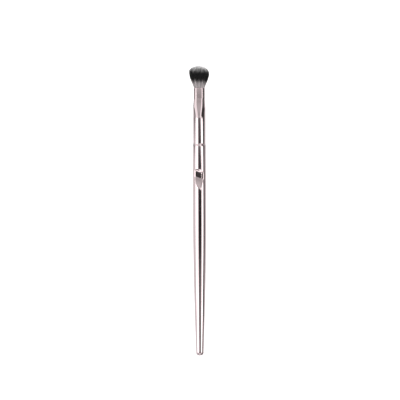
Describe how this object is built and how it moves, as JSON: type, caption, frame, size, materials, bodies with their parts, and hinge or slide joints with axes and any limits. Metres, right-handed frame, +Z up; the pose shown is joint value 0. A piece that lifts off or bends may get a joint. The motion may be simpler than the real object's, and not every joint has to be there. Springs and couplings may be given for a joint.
{
  "type": "eyeshadow brush",
  "caption": "Slender plated make-up brush: a domed oval tuft in a pressed ferrule on a long handle that tapers to a round tail, with a thumb scoop near the front.",
  "frame": {"origin": "on the surface that the brush lies on, under the middle of its length and width", "axes": "+Y along the brush from the tail to the tips of the fibres, +Z up out of the thumb scoop, +X across the flattened tuft"},
  "size_m": [0.0123, 0.18, 0.0082],
  "materials": {
    "fibre": "matte",
    "resin": "gloss",
    "thread": "matte",
    "plated_tube": "polished",
    "plated_moulding": "polished",
    "steel": "satin"
  },
  "bodies": {
    "root": {"bristle_tuft": "fibre", "fibre_plug": "resin", "binding_thread": "thread", "ferrule": "plated_tube", "ferrule_glue": "resin", "handle": "plated_moulding", "weight_rod": "steel", "rod_glue": "resin"}
  },
  "joints": []
}
